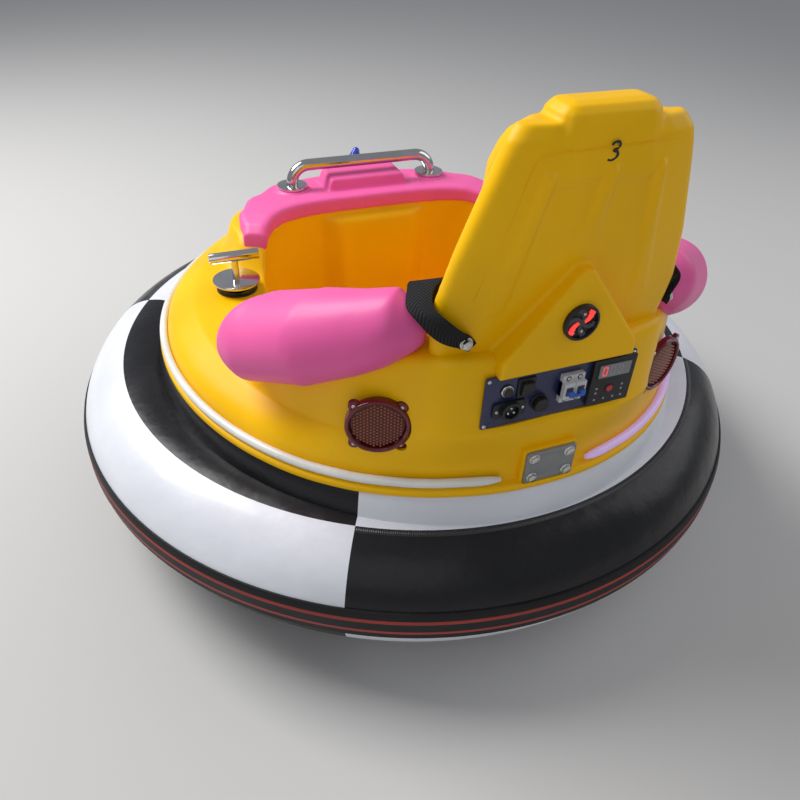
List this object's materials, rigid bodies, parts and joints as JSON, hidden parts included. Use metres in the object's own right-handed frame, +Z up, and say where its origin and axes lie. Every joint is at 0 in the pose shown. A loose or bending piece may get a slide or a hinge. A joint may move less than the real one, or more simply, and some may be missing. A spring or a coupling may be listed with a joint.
{
  "type": "electric bumper car",
  "caption": "Ride-on bumper car: round yellow body on a black and white inflated ring, tall seat back, pink arm pads, hand levers and driven wheels.",
  "frame": {"origin": "on the floor under the middle of the inflated ring", "axes": "+Y the way the driver faces, +X the driver's right, +Z up"},
  "size_m": [1.3598, 1.3598, 0.9258],
  "materials": {
    "ring_pvc": "satin coated fabric, black and white quarters",
    "strip_rubber": "matt, two red lines",
    "yellow_moulding": "satin moulded plastic",
    "pink_pad": "soft moulded pad",
    "chrome": "polished",
    "blue_lens": "coloured plastic",
    "light_strip_white": "frosted tube, unlit",
    "light_strip_violet": "frosted tube, lit",
    "red_lens": "translucent red",
    "black_plastic": "matt",
    "navy_panel": "satin",
    "white_plastic": "satin",
    "plate_steel": "brushed",
    "webbing": "woven",
    "black_steel": "black paint",
    "battery_case": "matt",
    "motor_paint": "grey paint",
    "tyre_rubber": "matt",
    "hub_alloy": "cast",
    "zinc_steel": "zinc plated",
    "castor_tread": "moulded tread"
  },
  "bodies": {
    "car": {"bumper_tube": "ring_pvc", "rub_strip": "strip_rubber", "body_shell": "yellow_moulding", "cockpit_floor": "yellow_moulding", "seat_bench": "yellow_moulding", "seat_back": "yellow_moulding", "armrest_left": "pink_pad", "armrest_right": "pink_pad", "dash_pad": "pink_pad", "grab_rail": "chrome", "rail_flanges": "chrome", "front_lamp": "blue_lens", "led_strip_left": "light_strip_white", "led_strip_right": "light_strip_violet", "tail_lamp_left": "red_lens", "tail_lamp_right": "red_lens", "back_light": "black_plastic", "control_panel": "navy_panel", "charging_inlet": "black_plastic", "panel_button": "black_plastic", "rocker_switch": "black_plastic", "panel_cap": "black_plastic", "circuit_breaker": "white_plastic", "timer_display": "black_plastic", "rear_plate": "plate_steel", "belt_left": "webbing", "belt_right": "webbing", "belt_bolts": "plate_steel", "lever_mounts": "black_plastic", "chassis_frame": "black_steel", "battery_block": "battery_case", "drive_motor_left": "motor_paint", "drive_motor_right": "motor_paint"},
    "lever_left": {"lever_left": "chrome"},
    "lever_right": {"lever_right": "chrome"},
    "drive_wheel_left": {"tyre_left": "tyre_rubber", "hub_left": "hub_alloy"},
    "drive_wheel_right": {"tyre_right": "tyre_rubber", "hub_right": "hub_alloy"},
    "castor_front": {"castor_fork_front": "zinc_steel"},
    "castor_front_wheel": {"castor_wheel_front": "castor_tread"},
    "castor_rear": {"castor_fork_rear": "zinc_steel"},
    "castor_rear_wheel": {"castor_wheel_rear": "castor_tread"}
  },
  "joints": [
    {"name": "lever_left_push", "type": "hinge", "parent": "car", "child": "lever_left", "pos_m": [-0.342, 0.07, 0.35], "axis": [1, 0, 0], "range_deg": [-10, 10], "stiffness_Nm_per_rad": 4},
    {"name": "lever_right_push", "type": "hinge", "parent": "car", "child": "lever_right", "pos_m": [0.342, 0.07, 0.35], "axis": [1, 0, 0], "range_deg": [-10, 10], "stiffness_Nm_per_rad": 4},
    {"name": "drive_wheel_left_spin", "type": "hinge", "parent": "car", "child": "drive_wheel_left", "pos_m": [-0.325, -0.03, 0.1], "axis": [1, 0, 0], "continuous": true},
    {"name": "drive_wheel_right_spin", "type": "hinge", "parent": "car", "child": "drive_wheel_right", "pos_m": [0.325, -0.03, 0.1], "axis": [1, 0, 0], "continuous": true},
    {"name": "castor_front_swivel", "type": "hinge", "parent": "car", "child": "castor_front", "pos_m": [0, 0.325, 0.11], "axis": [0, 0, 1], "continuous": true},
    {"name": "castor_front_spin", "type": "hinge", "parent": "castor_front", "child": "castor_front_wheel", "pos_m": [0, 0.295, 0.0375], "axis": [1, 0, 0], "continuous": true},
    {"name": "castor_rear_swivel", "type": "hinge", "parent": "car", "child": "castor_rear", "pos_m": [0, -0.325, 0.11], "axis": [0, 0, 1], "continuous": true},
    {"name": "castor_rear_spin", "type": "hinge", "parent": "castor_rear", "child": "castor_rear_wheel", "pos_m": [0, -0.355, 0.0375], "axis": [1, 0, 0], "continuous": true}
  ]
}
